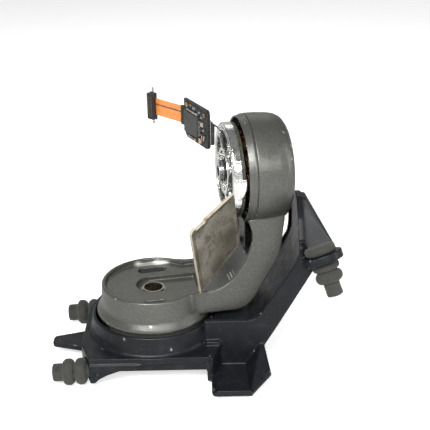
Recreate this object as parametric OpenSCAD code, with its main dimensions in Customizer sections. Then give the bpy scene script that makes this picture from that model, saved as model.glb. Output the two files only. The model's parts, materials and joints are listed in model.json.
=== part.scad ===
// Three-axis camera gimbal, upper assembly: rubber-damped mount bracket, yaw motor and arm,
// roll motor, and the flexible driver board that hangs from the roll hub.
// The camera, the roll arm and the pitch motor that belong in front of the roll hub are absent.
// Origin: the yaw axis, on the top face of the bracket's base plate. +X towards the tail, +Z up.

/* [Bracket] */
// Half the width of the base plate
plate_half_w = 19; // [18.4:0.1:19.4]
// Distance from the yaw axis to the nose edge of the base plate
plate_nose = 20.2; // [19.6:0.1:21]
// Thickness of the cast walls
wall = 1.5; // [1.2:0.1:1.7]
// Inner radius of the collar around the yaw motor
collar_r = 16.7; // [16.5:0.1:17]
// Height of the collar above the base plate
collar_h = 5.4; // [4.8:0.1:5.5]
// Half the width of the trough that runs to the tail
trough_half_w = 12; // [11.8:0.1:12.4]
// How far the foot ears reach below the base plate's top face
foot_drop = 7.9; // [7.6:0.1:8.4]

/* [Dampers] */
// Radius of the rubber neck in the ring of the tail damper
neck_r = 2.6; // [2.2:0.1:2.8]
// Radius of a damper's bulges
bulge_r = 3.7; // [3.5:0.05:3.8]
// Distance of the tail damper from the middle plane
tail_damper_y = 15; // [14.8:0.1:15.4]

/* [Yaw motor and arm] */
// Yaw angle of the arm at rest
yaw_rest = 10.5; // [-20:0.5:20]
// Yaw travel each side of the middle before the stop pin is met
yaw_travel = 27; // [20:1:28]
// Radius of the yaw cup's wall
cup_r = 15; // [14.9:0.05:15.2]
// Height of the cup's rim above the base plate
rim_z = 14.5; // [14.3:0.1:14.8]
// Half the width of the arm
arm_half_w = 11; // [10.5:0.1:11.2]
// Radius of the cable bore through the hollow yaw shaft
shaft_bore_r = 2.7; // [2.4:0.1:2.8]

/* [Roll motor] */
// Height of the roll axis above the base plate
roll_z = 45.8; // [45.4:0.1:46.4]
// Outer radius of the roll motor housing
housing_r = 15.4; // [15.3:0.05:15.6]
// Outer radius of the spoked roll hub
hub_r = 13.3; // [13:0.05:13.4]
// Pitch circle radius of the hub's threaded holes
hub_bolt_r = 9.3; // [9:0.1:9.6]

/* [Driver board] */
// Length of the driver board
board_len = 15.2; // [14:0.1:16]
// Height of the driver board
board_h = 11; // [10:0.1:11.5]
// Width of the ribbon
ribbon_w = 5; // [4:0.1:5.2]
// Length of the ribbon between board and connector
ribbon_len = 11.4; // [10:0.1:13]

/* [Hidden] */

$fn = 96;
eps = 0.01;
// Gap between a part and the hole it is fitted into
fit_gap = 0.02;
sides = [-1, 1];

// --- bracket
plate_t = 1.6;
plate_tail = 15.6;
nose_half_w = 11;
nose_chamfer = 2.9;
skirt_drop = 4.6;
nose_drop = 6.1;
lip = 0.8;
skirt_inset = 0.8;
collar_t = 1;
collar_base_r = 18.3;
leg_drop = 7.4;
ear_floor_t = 1.2;
trough_floor_z = 6;
trough_wall_z = 7.1;
tower_x = 40.2;
tower_top_z = 40.1;
ring_r = 5.5;
ring_t = 2.2;
tail_damper_pos = [46.6, -tail_damper_y, 26.5];
tail_damper_tilt = 26;
tail_damper_turn = -43;
wing_root_angle = 48;
nose_damper_pos = [-18.2, 16.8, -4.8];
nose_damper_dip = 3;
nose_neck_r = 1.9;
nose_cap_r = 2.3;
tail_cap_r = 4.2;
leg_half_w = plate_half_w + 0.6;

// --- yaw motor
cup_z = 5.7;
cup_inner_r = 14.1;
cup_roof_z = 10.3;
flare_r = 16.3;
recess_z = rim_z - 1.4;
pocket_z = rim_z - 3;
pocket_half_w = 4.7;
yaw_shaft_r = 3.5;
yaw_shaft_rim_r = 3.1;
yaw_bearing_r = 5.5;
yaw_bearing_w = 2.5;
yaw_lower_bearing_z = -2.1;
yaw_upper_bearing_z = 5.9;
yaw_ball_r = 0.45;
bearing_tube_r = 6.6;
yaw_stator_r = 12;
tooth_count = 12;
magnet_count = 14;
yaw_magnet_r = 12.4;
yaw_ring_r = 13.3;
stop_r = 15.25;
stop_pin_r = 0.6;
channel_half_w = 9.3;
stop_half_angle = yaw_travel + 2.6;

// --- roll motor, measured along the arm's X axis
ring_front_x = 24.9;
housing_front_x = 27.2;
housing_back_x = 38.5;
housing_bore_r = 14.6;
bore_back_x = 33.8;
cavity_back_r = 13.2;
cavity_back_x = 35.8;
opening_r = 14.3;
hub_front_x = 21;
hub_rim_x = 23.4;
hub_tube_r = 6.5;
roll_shaft_r = 2.5;
roll_shaft_bore_r = 1.5;
roll_shaft_front_x = 19.4;
roll_bearing_r = 5.5;
roll_bearing_w = 3;
roll_ball_r = 0.7;
roll_front_bearing_x = 22.6;
roll_rear_bearing_x = 30.4;
spoke_angles = [-5, 115, 235];
roll_stator_r = 12.6;

// --- loose plate, placed in the arm's frame
plate_corner = [11.6, -13.2, 15.1];
plate_angles = [106.2, -40.4, 24.1];
shield_t = 0.9;

// --- driver board, placed in the arm's frame
board_edge = [17.6, 0.87, 51.75];
board_turn = 105;
board_t = 0.8;
ribbon_turn = 121.7;
ribbon_t = 0.2;
lead_hinge = [18.7, 1.1];
lead_t = 0.2;
board_dir = [cos(board_turn), sin(board_turn)];
stiffener_len = 1.6;
ribbon_mid_z = 57.4;
hinge_gap = 0.15;
contact_rows = [0.45, 1.6];
contact_len = 0.55;
ribbon_start = [
    board_edge[0] + (board_len - 0.6) * board_dir[0],
    board_edge[1] + (board_len - 0.6) * board_dir[1]
];

// ---------------------------------------------------------------- frames

module on_arm() {
    rotate([0, 0, yaw_rest]) children();
}

// Local Z becomes the arm's X axis, local X its Y axis and local Y its Z axis
module on_roll_axis(x = 0) {
    on_arm() translate([x, 0, roll_z]) rotate([90, 0, 90]) children();
}

module both_sides() {
    for (side = sides) mirror([0, side > 0 ? 0 : 1, 0]) children();
}

// Local X runs along the board away from its hinged edge, local Y towards its parts, local Z up
module on_board() {
    on_arm() translate(board_edge) rotate([0, 0, board_turn]) children();
}

// Local X runs along the ribbon from the board to the connector, centred on its height
module on_ribbon() {
    on_arm() translate([ribbon_start[0], ribbon_start[1], ribbon_mid_z])
        rotate([0, 0, ribbon_turn]) children();
}

module nose_damper_place(side) {
    translate([nose_damper_pos[0], side * nose_damper_pos[1], nose_damper_pos[2]])
        rotate([0, -90 - nose_damper_dip, 0]) children();
}

module tail_damper_place() {
    translate(tail_damper_pos) rotate([0, 0, tail_damper_turn])
        rotate([0, 180 - tail_damper_tilt, 0]) children();
}

// ---------------------------------------------------------------- shared shapes

module tube(outer_r, inner_r, h) {
    difference() {
        cylinder(r = outer_r, h = h);
        translate([0, 0, -eps]) cylinder(r = inner_r, h = h + 2 * eps);
    }
}

// Half section of a disc with rounded rims, for rotate_extrude
module round_disc_section(r, low, high, corner) {
    translate([0, low]) square([r - corner, high - low]);
    translate([0, low + corner]) square([r, high - low - 2 * corner]);
    for (z = [low + corner, high - corner])
        translate([r - corner, z]) circle(r = corner, $fn = 32);
}

// Plate in the XZ plane, centred on y
module side_plate(points, thickness, y = 0) {
    translate([0, y + thickness / 2, 0]) rotate([90, 0, 0])
        linear_extrude(thickness) polygon(points);
}

module bearing_race(inner_r, outer_r, width, ball_r, pitch_r) {
    difference() {
        tube(outer_r, inner_r, width);
        translate([0, 0, width / 2]) rotate_extrude()
            translate([pitch_r, 0]) circle(r = ball_r + 0.04, $fn = 32);
    }
}

module bearing_balls(ball_r, pitch_r, width, count = 9) {
    for (i = [0:count - 1])
        rotate([0, 0, i * 360 / count]) translate([pitch_r, 0, width / 2])
            sphere(r = ball_r, $fn = 24);
}

module stator_core(tube_r, tip_r, thickness, tooth_w) {
    difference() {
        union() {
            cylinder(r = tube_r + 1.5, h = thickness);
            for (i = [0:tooth_count - 1])
                rotate([0, 0, i * 360 / tooth_count]) {
                    translate([tube_r, -tooth_w / 2, 0]) cube([tip_r - tube_r - 0.3, tooth_w, thickness]);
                    intersection() {
                        tube(tip_r, tip_r - 0.8, thickness);
                        translate([0, -tooth_w * 1.25, 0]) cube([tip_r, tooth_w * 2.5, thickness]);
                    }
                }
        }
        translate([0, 0, -eps]) cylinder(r = tube_r + fit_gap, h = thickness + 2 * eps);
    }
}

module stator_coils(inner_r, outer_r, coil_w, height, tooth_w, tooth_h) {
    for (i = [0:tooth_count - 1])
        rotate([0, 0, i * 360 / tooth_count]) difference() {
            union() {
                translate([inner_r, -coil_w / 2, -height / 2 + 0.5])
                    cube([outer_r - inner_r, coil_w, height - 1]);
                translate([inner_r, -coil_w / 2 + 0.5, -height / 2])
                    cube([outer_r - inner_r, coil_w - 1, height]);
            }
            translate([0, -tooth_w / 2 - fit_gap, -tooth_h / 2 - fit_gap])
                cube([outer_r + 1, tooth_w + 2 * fit_gap, tooth_h + 2 * fit_gap]);
        }
}

module ring_magnets(inner_r, outer_r, height) {
    span = 360 / magnet_count - 2.5;
    for (i = [0:magnet_count - 1])
        rotate([0, 0, (i + 0.5) * 360 / magnet_count]) rotate([0, 0, -span / 2])
            rotate_extrude(angle = span) translate([inner_r, 0])
                square([outer_r - inner_r, height]);
}

// ---------------------------------------------------------------- bracket

// Outline of the base plate, pulled in by inset
module plate_outline(inset = 0) {
    x0 = -plate_nose + inset;
    x1 = plate_tail - inset;
    y1 = plate_half_w - inset;
    polygon([
        [x0, -nose_half_w + inset * 0.1], [x0 + nose_chamfer, -y1], [x1, -y1],
        [x1 + 3.2, -trough_half_w + inset], [x1 + 3.2, trough_half_w - inset], [x1, y1],
        [x0 + nose_chamfer, y1], [x0, nose_half_w - inset * 0.1]
    ]);
}

module nose_wall_outline() {
    difference() {
        plate_outline();
        plate_outline(2);
        translate([-plate_nose + 4, -30]) square([60, 60]);
    }
}

module plate_and_skirt() {
    translate([0, 0, -plate_t]) linear_extrude(plate_t) plate_outline();
    // Skirt, set back under the lip of the plate
    translate([0, 0, -skirt_drop]) linear_extrude(skirt_drop - plate_t + eps) difference() {
        plate_outline(skirt_inset);
        plate_outline(skirt_inset + wall);
    }
    // Deeper wall across the nose, deepest at the two damper seats
    translate([0, 0, -nose_drop]) linear_extrude(nose_drop - plate_t + eps) nose_wall_outline();
    both_sides() translate([0, 0, -leg_drop]) linear_extrude(leg_drop - plate_t + eps) intersection() {
        nose_wall_outline();
        translate([-plate_nose - 1, 12.6]) square([9, 12]);
    }
    // Corner legs with a curved wedge running into the skirt
    both_sides() side_plate([
        [-plate_nose + nose_chamfer, -plate_t], [-plate_nose + nose_chamfer, -leg_drop],
        [-16, -leg_drop], [-14.6, -6.1], [-12.4, -4.9], [-9.5, -3.8], [-5, -2.4], [-2, -plate_t]
    ], wall, leg_half_w - wall / 2);
}

module collar() {
    fillet = 1.2;
    steps = 8;
    rotate_extrude() polygon(concat(
        [[collar_r, -plate_t], [collar_r, collar_h - 0.3], [collar_r + 0.3, collar_h],
         [collar_r + collar_t - 0.3, collar_h], [collar_r + collar_t, collar_h - 0.3]],
        [for (i = [0:steps]) let (a = i * 90 / steps)
            [collar_base_r + fillet - fillet * cos(a), fillet - fillet * sin(a)]],
        [[collar_base_r + fillet, -plate_t]]
    ));
}

module motor_base() {
    translate([0, 0, -plate_t]) cylinder(r = collar_r + eps, h = plate_t);
    translate([0, 0, yaw_lower_bearing_z - 0.5])
        cylinder(r = bearing_tube_r, h = yaw_upper_bearing_z + yaw_bearing_w - yaw_lower_bearing_z + 0.9);
}

module nose_prong() {
    root_x = -plate_nose + 0.6;
    tip_x = -30;
    tip_r = 1.6;
    translate([0, 0, -nose_drop]) linear_extrude(1.3) {
        polygon([
            [root_x, -5.6], [root_x - 1.2, -4.9], [tip_x + tip_r, -2.5], [tip_x, -2.5 + tip_r],
            [tip_x, 2.5 - tip_r], [tip_x + tip_r, 2.5], [root_x - 1.2, 4.9], [root_x, 5.6]
        ]);
        for (side = sides) translate([tip_x + tip_r, side * (2.5 - tip_r)]) circle(r = tip_r);
    }
}

// Side wall of the trough, which climbs to the tower and drops to the foot ear
module trough_side() {
    side_plate([
        [14.5, -skirt_drop], [14.5, trough_wall_z], [27, trough_wall_z], [28.8, 7.9],
        [30.4, 9.6], [37.6, 21.3], [39.2, 24.2], [tower_x, 27], [tower_x, 31],
        [tower_x + wall, 31], [46, 27.6], [46, 25.4], [34.6, 4.9], [31.4, -0.6], [27.2, -foot_drop],
        [18.5, -foot_drop], [16.4, -foot_drop + 1], [15.6, -skirt_drop]
    ], wall, trough_half_w - wall / 2);
}

module trough_floor() {
    t = wall;
    side_plate([
        [collar_r + 0.6, trough_floor_z], [27.1, trough_floor_z], [29, 7], [31, 9.2],
        [38, 20.7], [39.6, 24], [tower_x, 26.6], [tower_x, 30], [tower_x + t, 30],
        [tower_x + t, 26], [39.3 + t, 23], [32.3 + t, 8.4], [29.6 + t, 5.4],
        [27.4, trough_floor_z - t], [collar_r + 0.6, trough_floor_z - t]
    ], 2 * trough_half_w - 1);
}

// Web between the trough and the wing, standing across the tail
module tower_web() {
    translate([tower_x, 0, 0]) rotate([90, 0, 90]) linear_extrude(wall) polygon([
        [-trough_half_w, 23], [-trough_half_w - 0.4, 29], [-8.5, 36], [-3.4, tower_top_z - 0.4],
        [-2, tower_top_z], [2, tower_top_z], [3.4, tower_top_z - 0.4], [8.5, 37],
        [trough_half_w + 0.4, 32], [trough_half_w, 23]
    ]);
    // The far side's edge runs on up to the shoulder of the web
    side_plate([
        [38.7, 22.6], [39.2, 25], [39.4, 27], [39.4, 32], [tower_x + wall, 32], [tower_x + wall, 22.6]
    ], wall, trough_half_w - wall / 2);
}

// Wing from the top of the tower down to the far side of the damper's ring
module wing() {
    root_w = 8.6;
    root_t = 1.1;
    hull() {
        translate([tower_x + eps, -3, tower_top_z - 2.6]) cube([2.6, 5, 2.3]);
        tail_damper_place() rotate([0, 0, wing_root_angle])
            translate([ring_r - root_t, -root_w / 2, -ring_t]) cube([root_t, root_w, ring_t]);
    }
    tail_damper_place() translate([0, 0, -ring_t]) cylinder(r = ring_r, h = ring_t);
}

// Foot ear beside the trough: floor, front lip and an inclined gusset
module foot_ear() {
    y1 = 26.4;
    x0 = 16.2;
    crease_x = 26.8;
    corner = 1.4;
    // Floor with a rounded outer corner
    translate([0, 0, -foot_drop]) linear_extrude(ear_floor_t) {
        polygon([
            [x0 - 0.6, trough_half_w - 1], [x0 - 0.6, 18.8], [x0, 19.4], [x0, y1 - corner],
            [x0 + corner, y1], [crease_x + 0.4, y1], [crease_x + 0.4, trough_half_w - 1]
        ]);
        translate([x0 + corner, y1 - corner]) circle(r = corner);
    }
    // Wall from the end of the skirt down to the floor
    translate([plate_tail - lip / 2 - wall / 2, 0, -foot_drop]) linear_extrude(foot_drop - 0.4)
        polygon([
            [0.5, plate_half_w - 0.2], [wall + 0.7, plate_half_w - 0.2],
            [wall + 3.1, trough_half_w - 0.6], [2, trough_half_w - 0.6]
        ]);
    // Low lip around the outer edge
    translate([0, 0, -foot_drop]) linear_extrude(ear_floor_t + 0.7) {
        translate([x0, 19.2]) square([0.9, y1 - 19.2 - corner]);
        translate([x0 + corner, y1 - 0.9]) square([crease_x - x0 - corner, 0.9]);
    }
    // Gusset that folds up from the floor's crease to the trough's side
    hull() {
        for (p = [
            [crease_x, y1 - 0.7, -foot_drop + 0.6], [crease_x - 0.6, trough_half_w - 0.6, -foot_drop + 0.6],
            [32, 20.8, -4.6], [30.5, trough_half_w - 0.6, -0.4]
        ]) translate(p) sphere(r = 0.6, $fn = 16);
    }
}

module bracket_holes() {
    // Bearing seats and the shoulder between them
    translate([0, 0, yaw_lower_bearing_z - 0.6])
        cylinder(r = yaw_bearing_r, h = yaw_bearing_w + 0.6);
    translate([0, 0, -3]) cylinder(r = yaw_bearing_r - 0.8, h = 12);
    translate([0, 0, yaw_upper_bearing_z]) cylinder(r = yaw_bearing_r, h = 4);
    // Seat of the stop pin
    translate([-stop_r, 0, -1]) cylinder(r = stop_pin_r, h = 2);
    tail_damper_place() {
        translate([0, 0, -ring_t - eps]) cylinder(r = neck_r + 0.05, h = 9);
        // Room for the damper's cap above the ring and for its bulge below
        translate([0, 0, -ring_t - 4]) cylinder(r = tail_cap_r + 0.15, h = 4);
        cylinder(r = bulge_r + 0.3, h = 12);
    }
    for (side = sides) {
        nose_damper_place(side) {
            translate([0, 0, -5]) cylinder(r = nose_neck_r + 0.05, h = 9);
            // Flat seats for the first bulge and for the inner head
            cylinder(r = bulge_r + 0.2, h = 6);
            translate([0, 0, -6]) cylinder(r = nose_cap_r + 0.1, h = 6 - ring_t);
        }
        // Small window in the leg that shows the damper's inner head
        translate([-15.2, side * leg_half_w, -4.8]) cube([1.2, 2 * wall, 1.5], center = true);
    }
}

module mount_bracket() {
    color([0.16, 0.17, 0.19]) difference() {
        union() {
            difference() {
                union() {
                    plate_and_skirt();
                    collar();
                    both_sides() trough_side();
                }
                cylinder(r = collar_r, h = 12);
            }
            difference() {
                trough_floor();
                translate([0, 0, 2]) cylinder(r = collar_r, h = 12);
            }
            motor_base();
            nose_prong();
            tower_web();
            wing();
            both_sides() foot_ear();
            // Small step where the trough's side meets the plate
            both_sides() side_plate([[14.8, -0.2], [14.8, 1.3], [18.4, 1.3], [19.2, -0.2]],
                1.6, trough_half_w + 0.4);
        }
        bracket_holes();
    }
}

// ---------------------------------------------------------------- dampers

// Local origin on the outer face of the bracket wall, local Z outwards
module damper(cap_r, hole_r, first_end, second_end, tail_end, tail_r) {
    color([0.32, 0.32, 0.3]) rotate_extrude() intersection() {
        union() {
            round_disc_section(cap_r, -4.5, -ring_t, 0.9);
            translate([0, -4]) square([hole_r, 9]);
            round_disc_section(bulge_r, 0.05, first_end, first_end / 2 - 0.2);
            round_disc_section(bulge_r, first_end + 0.3, second_end, 1.3);
            translate([0, second_end - 1]) square([tail_r, 3]);
            round_disc_section(tail_r, second_end, tail_end, 0.4);
        }
        translate([0, -10]) square([10, 30]);
    }
}

module nose_damper() {
    damper(nose_cap_r, nose_neck_r, 3.2, 6.6, 9.4, 2.5);
}

module damper_nose_left() {
    nose_damper_place(1) nose_damper();
}

module damper_nose_right() {
    nose_damper_place(-1) nose_damper();
}

module damper_tail() {
    tail_damper_place() damper(tail_cap_r, neck_r, 2.4, 5.7, 9.5, 2.2);
}

// ---------------------------------------------------------------- yaw motor, fixed side

module yaw_stator_core() {
    color([0.35, 0.35, 0.37]) translate([0, 0, 3.4])
        stator_core(bearing_tube_r, yaw_stator_r, 3.6, 1.5);
}

module yaw_coils() {
    color([0.72, 0.32, 0.14]) translate([0, 0, 5.2])
        stator_coils(8.6, 11, 3.2, 6.2, 1.5, 3.6);
}

module yaw_race_outer(z) {
    color([0.75, 0.76, 0.78]) translate([0, 0, z])
        bearing_race(4.8, yaw_bearing_r, yaw_bearing_w, yaw_ball_r, 4.5);
}

module yaw_balls(z) {
    color([0.85, 0.86, 0.88]) translate([0, 0, z])
        bearing_balls(yaw_ball_r, 4.5, yaw_bearing_w, 14);
}

module yaw_lower_bearing_outer() {
    yaw_race_outer(yaw_lower_bearing_z);
}

module yaw_upper_bearing_outer() {
    yaw_race_outer(yaw_upper_bearing_z);
}

module yaw_lower_bearing_balls() {
    yaw_balls(yaw_lower_bearing_z);
}

module yaw_upper_bearing_balls() {
    yaw_balls(yaw_upper_bearing_z);
}

// Ring circuit board on the motor floor, with three position sensors between the coils
module yaw_sensor_board() {
    color([0.1, 0.25, 0.18]) {
        tube(13.2, bearing_tube_r + 0.3, 0.8);
        for (i = [0:2])
            rotate([0, 0, 105 + i * 30]) translate([11.2, -0.8, 0.8 - eps]) cube([1.4, 1.6, 0.8]);
    }
}

module yaw_stop_pin() {
    color([0.8, 0.8, 0.82]) translate([-stop_r, 0, -1]) cylinder(r = stop_pin_r, h = 5.8);
}

// ---------------------------------------------------------------- yaw arm

module cup_shell() {
    rotate_extrude() polygon([
        [0, cup_roof_z], [cup_inner_r, cup_roof_z], [cup_inner_r, cup_z],
        [flare_r - 0.15, cup_z], [flare_r, cup_z + 0.2], [flare_r, cup_z + 0.7],
        [flare_r - 0.25, cup_z + 1.2], [cup_r + 0.15, 8.3], [cup_r, 8.8],
        [cup_r - 0.4, rim_z - 0.3], [cup_r - 0.7, rim_z], [0, rim_z]
    ]);
}

// Concave fillets where the round cup runs into the straight arm
module neck_blend() {
    r = 4.5;
    cx = sqrt(pow(cup_r + r, 2) - pow(arm_half_w + r, 2));
    touch = [cx, arm_half_w + r] * cup_r / (cup_r + r);
    translate([0, 0, 7.7]) linear_extrude(rim_z - 7.7) for (side = sides)
        mirror([0, side > 0 ? 0 : 1]) difference() {
            polygon([[0, 0], touch * 0.99, [cx + 1, arm_half_w + 0.02], [cx + 1, 0]]);
            translate([cx, arm_half_w + r]) circle(r = r);
        }
}

// Side view of the arm: the elbow from the cup up to the roll housing
arm_outer = [
    [22.3, 7.9], [24.4, 8.5], [26, 9.7], [27.4, 11.5], [28.5, 13.5], [33, 21], [34.2, 23.6],
    [34.8, 26.4], [35.1, 30.1], [35.6, 34], [36, roll_z - 6]
];
arm_inner = [
    [25, roll_z - 10], [25.9, 33.2], [26.5, 31], [26.5, 28.6], [26.2, 26.6], [25.6, 24.7],
    [24.6, 22.7], [23.5, 20.9], [22.2, 19], [20.9, 17.5], [19.4, 16.3], [17.7, 15.2], [15.9, 14.6]
];

module arm_block() {
    side_plate(concat(
        [[0, 7.7], [13, 7.7]], arm_outer, arm_inner, [[14, rim_z], [0, rim_z]]
    ), 2 * arm_half_w);
}

module housing_shell() {
    rotate_extrude() polygon([
        [0, housing_front_x], [housing_r - 0.15, housing_front_x], [housing_r, housing_front_x + 0.2],
        [housing_r, 30], [housing_r - 0.25, 33.6], [housing_r - 0.6, 35.4], [housing_r - 1.4, 36.9],
        [housing_r - 2.7, 37.8], [housing_r - 4.4, 38.15], [0, housing_back_x]
    ]);
}

// Rounded slot floor between the raised edges of the elbow's inner face
module elbow_scoop() {
    start = [15, recess_z];
    turn = [23.2, 14.3];
    end = [27, 24];
    steps = 12;
    side_plate(concat(
        [[10, recess_z]],
        [for (i = [0:steps]) let (t = i / steps)
            start * pow(1 - t, 2) + turn * 2 * t * (1 - t) + end * t * t],
        [[27, 32], [20, 32], [20, 25], [10, 25]]
    ), 2 * (arm_half_w - 1.3));
}

module cup_recess() {
    translate([0, 0, recess_z]) cylinder(r = cup_r - 1.5, h = 3);
    // Deep pocket around the bore, open towards the arm
    translate([0, 0, pocket_z]) cylinder(r = pocket_half_w, h = 4);
    translate([0, -pocket_half_w, pocket_z]) cube([12.6, 2 * pocket_half_w, 4]);
    // One wide and one narrow slot through the roof
    roof_slot(-1.6, 3.4, 8.9, 1.6);
    roof_slot(-3, 1, -10.9, 1);
}

module roof_slot(x0, x1, y, r) {
    translate([x0, y - r, cup_roof_z - 1]) cube([x1 - x0, 2 * r, 5]);
    for (x = [x0, x1]) translate([x, y, cup_roof_z - 1]) cylinder(r = r, h = 5);
}

module yaw_arm() {
    color([0.38, 0.38, 0.37]) {
        on_arm() difference() {
            union() {
                difference() {
                    union() {
                        cup_shell();
                        neck_blend();
                        arm_block();
                    }
                    translate([0, 0, -1]) cylinder(r = cup_inner_r, h = cup_roof_z + 1);
                    elbow_scoop();
                    cup_recess();
                    // Cable channel up the inner face of the elbow
                    translate([24, -channel_half_w, 22]) cube([7, 2 * channel_half_w, 12]);
                    translate([14, 0, roll_z]) rotate([0, 90, 0])
                        cylinder(r = housing_r - 0.05, h = housing_front_x - 14);
                }
                // Boss that bears on the upper bearing's inner race
                translate([0, 0, yaw_upper_bearing_z + yaw_bearing_w])
                    cylinder(r = yaw_shaft_r + 0.7, h = 2.4);
                translate([0, 0, roll_z]) rotate([90, 0, 90]) housing_shell();
            }
            // Motor cavity of the roll housing and the seat of its shaft
            translate([housing_front_x - 1, 0, roll_z]) rotate([0, 90, 0]) {
                cylinder(r = housing_bore_r, h = bore_back_x - housing_front_x + 1);
                cylinder(r = cavity_back_r, h = cavity_back_x - housing_front_x + 1);
            }
            translate([30, 0, roll_z]) rotate([0, 90, 0]) cylinder(r = roll_shaft_r, h = 7.2);
            cylinder(r = yaw_shaft_r, h = 20);
        }
        // Skirt under the cup, whose two ends meet the stop pin
        on_arm() translate([0, 0, cup_z - 3]) rotate([0, 0, 180 + stop_half_angle])
            rotate_extrude(angle = 360 - 2 * stop_half_angle)
                translate([14.6, 0]) square([1.25, 3 + eps]);
    }
}

module yaw_shaft() {
    color([0.8, 0.78, 0.7]) on_arm() difference() {
        translate([0, 0, -3.3]) union() {
            cylinder(r = yaw_shaft_r, h = pocket_z + 3.3);
            cylinder(r = yaw_shaft_rim_r, h = pocket_z + 3.9);
        }
        translate([0, 0, -4]) cylinder(r = shaft_bore_r, h = 20);
        // Groove for the retaining ring
        translate([0, 0, -3]) tube(5, yaw_shaft_r - 0.25, 0.6);
    }
}

module yaw_rotor_ring() {
    color([0.5, 0.5, 0.52]) on_arm() translate([0, 0, 2.2])
        tube(cup_inner_r, yaw_ring_r, cup_roof_z - 2.2);
}

module yaw_magnets() {
    color([0.7, 0.71, 0.73]) on_arm() translate([0, 0, 3])
        ring_magnets(yaw_magnet_r, yaw_ring_r, 5);
}

module yaw_race_inner(z) {
    color([0.75, 0.76, 0.78]) translate([0, 0, z])
        bearing_race(yaw_shaft_r, 4.2, yaw_bearing_w, yaw_ball_r, 4.5);
}

module yaw_lower_bearing_inner() {
    yaw_race_inner(yaw_lower_bearing_z);
}

module yaw_upper_bearing_inner() {
    yaw_race_inner(yaw_upper_bearing_z);
}

module yaw_retaining_ring() {
    color([0.3, 0.3, 0.32]) on_arm() translate([0, 0, -3 + fit_gap]) difference() {
        tube(4.4, yaw_shaft_r - 0.25, 0.6 - 2 * fit_gap);
        translate([0, -0.8, -eps]) cube([6, 1.6, 1]);
    }
}

// ---------------------------------------------------------------- roll motor, housing side

module roll_front_ring() {
    color([0.4, 0.4, 0.39]) on_roll_axis() rotate_extrude() polygon([
        [opening_r, ring_front_x + 0.2], [opening_r + 0.2, ring_front_x], [opening_r + 0.5, ring_front_x],
        [housing_r - 0.35, ring_front_x + 1.2], [housing_r - 0.1, ring_front_x + 1.6],
        [housing_r - 0.1, housing_front_x - 0.1], [housing_r - 0.2, housing_front_x],
        [opening_r, housing_front_x]
    ]);
}

module roll_shaft() {
    color([0.75, 0.75, 0.76]) on_roll_axis() difference() {
        translate([0, 0, roll_shaft_front_x]) cylinder(r = roll_shaft_r, h = 37.2 - roll_shaft_front_x);
        translate([0, 0, roll_shaft_front_x - 1]) cylinder(r = roll_shaft_bore_r, h = 12);
    }
}

module roll_shaft_collar() {
    color([0.82, 0.82, 0.83]) on_roll_axis(roll_shaft_front_x + 0.1)
        tube(3.1, roll_shaft_r, roll_front_bearing_x - roll_shaft_front_x - 0.1);
}

module roll_rotor_ring() {
    color([0.5, 0.5, 0.52]) on_roll_axis(housing_front_x + 0.2)
        tube(housing_bore_r, 14.2, bore_back_x - housing_front_x - 0.2);
}

module roll_magnets() {
    color([0.7, 0.71, 0.73]) on_roll_axis(housing_front_x + 0.4) ring_magnets(13.5, 14.2, 5.4);
}

module roll_race_inner(x) {
    color([0.75, 0.76, 0.78]) on_roll_axis(x)
        bearing_race(roll_shaft_r, 3.55, roll_bearing_w, roll_ball_r, 4);
}

module roll_front_bearing_inner() {
    roll_race_inner(roll_front_bearing_x);
}

module roll_rear_bearing_inner() {
    roll_race_inner(roll_rear_bearing_x);
}

// ---------------------------------------------------------------- loose plate on its flex

// Local XY is the plate's outer face, with its lower edge along local X
module on_loose_plate() {
    on_arm() translate(plate_corner) rotate(plate_angles) children();
}

module shield_plate() {
    color([0.47, 0.44, 0.39]) on_loose_plate() translate([0, 0, -shield_t])
        linear_extrude(shield_t) polygon([
            [0, 0], [17.8, 0], [24.9, 18.3], [14.4, 21.3], [14.1, 20.7], [10.8, 21.7], [11, 22.3],
            [9.9, 22.6], [9, 22]
        ]);
}

// Flat cable from the back of the loose plate into the channel of the elbow, with a tail
// that stands in front of the roll motor's opening
module arm_flex() {
    t = 0.3;
    sheet_x = ring_front_x - 0.4;
    color([0.12, 0.12, 0.13]) {
        hull() {
            on_loose_plate() translate([13, 1.5, -shield_t - t - fit_gap]) cube([3, 4, t]);
            on_arm() translate([sheet_x, -5.5, 26.5]) cube([t, 2, 0.6]);
        }
        hull() {
            on_arm() translate([sheet_x, -5.5, 25.2]) cube([t, 5, 3.4]);
            on_arm() translate([30.6, -2, 24.8]) cube([t, 4, 4]);
        }
        on_arm() translate([sheet_x, -9.5, 26.2]) cube([t, 6.5, 8]);
    }
}

// ---------------------------------------------------------------- roll motor, hub side

module hub_spokes() {
    for (a = spoke_angles) rotate([0, 0, a]) {
        translate([hub_tube_r - 0.4, -1.1, 0]) cube([hub_r - hub_tube_r - 0.2, 2.2, 1]);
        translate([hub_bolt_r, 0, 0]) cylinder(r = 1.75, h = 1.8);
    }
    for (a = spoke_angles) rotate([0, 0, a + 45])
        translate([hub_tube_r - 0.4, -0.6, 0]) cube([hub_r - hub_tube_r - 0.2, 1.2, 1]);
}

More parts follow.
